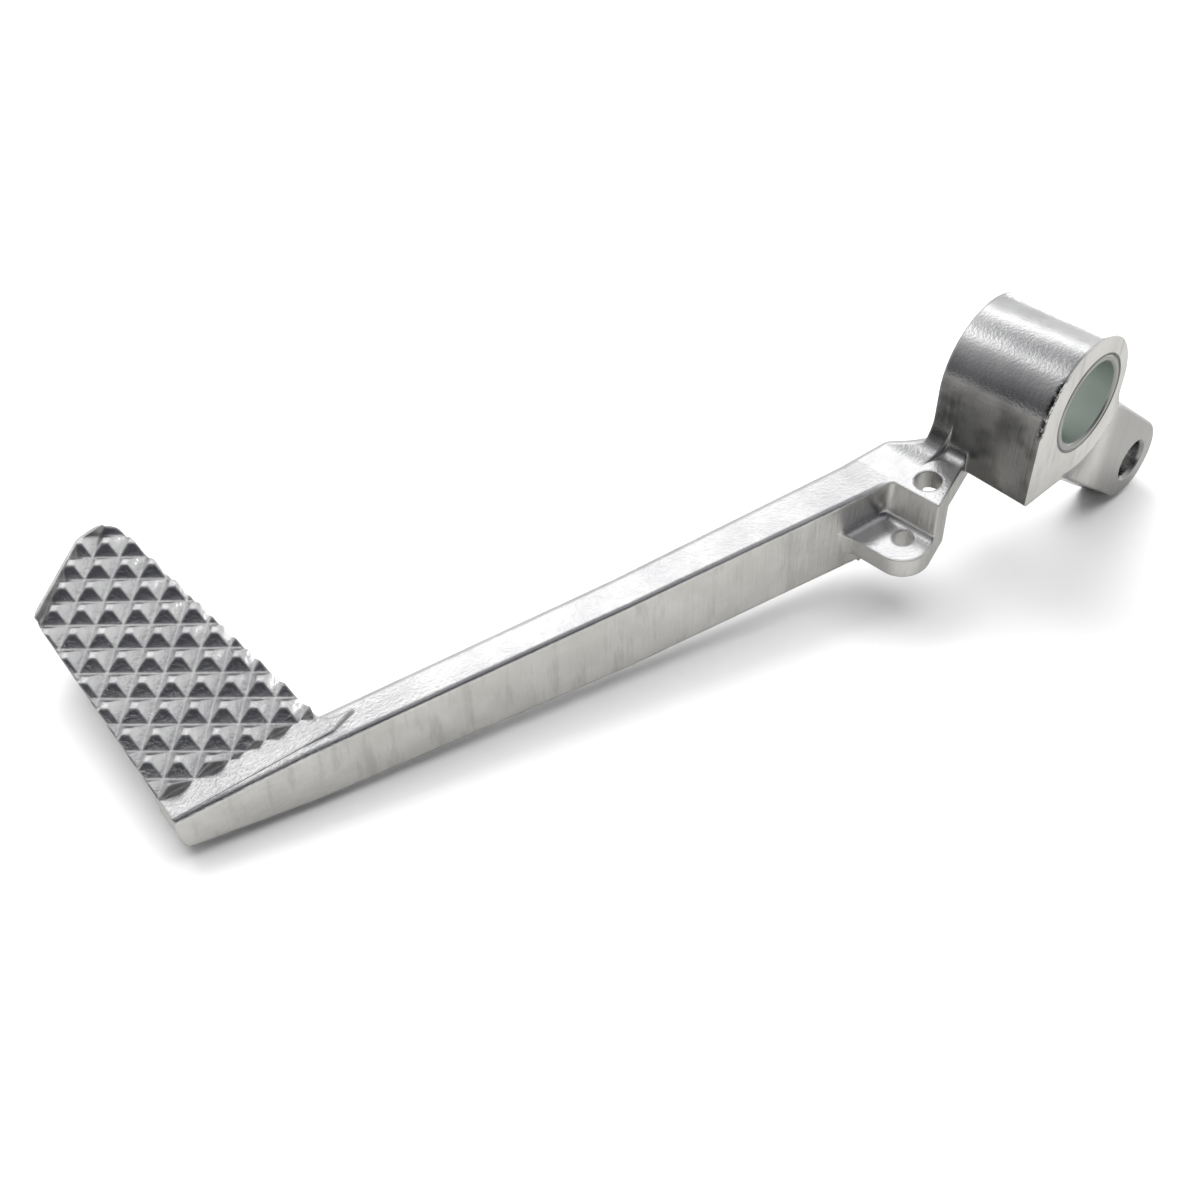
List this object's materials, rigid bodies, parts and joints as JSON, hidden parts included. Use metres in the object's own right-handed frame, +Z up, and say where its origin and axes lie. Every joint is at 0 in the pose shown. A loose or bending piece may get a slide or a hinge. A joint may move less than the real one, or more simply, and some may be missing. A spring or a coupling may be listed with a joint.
{
  "type": "rear brake pedal",
  "caption": "Rear brake pedal of a motorbike in bright cast aluminium, with a diamond-tread toe pad, a bushed pivot boss, a two-level spring bracket and a clevis ear.",
  "frame": {"origin": "centre of the pivot bore on the inner face of the boss, the face on the toe pad's open side", "axes": "+Y along the pivot bore, outboard towards the toe pad; +X from the toe pad towards the clevis ear; +Z up, square to the table the pedal lies on"},
  "size_m": [0.2125, 0.128, 0.0562],
  "materials": {
    "casting": "bright, lightly polished casting",
    "bush": "smooth, pale green-grey plating"
  },
  "bodies": {
    "root": {"pedal_lever": "casting", "pivot_bush": "bush"}
  },
  "joints": []
}
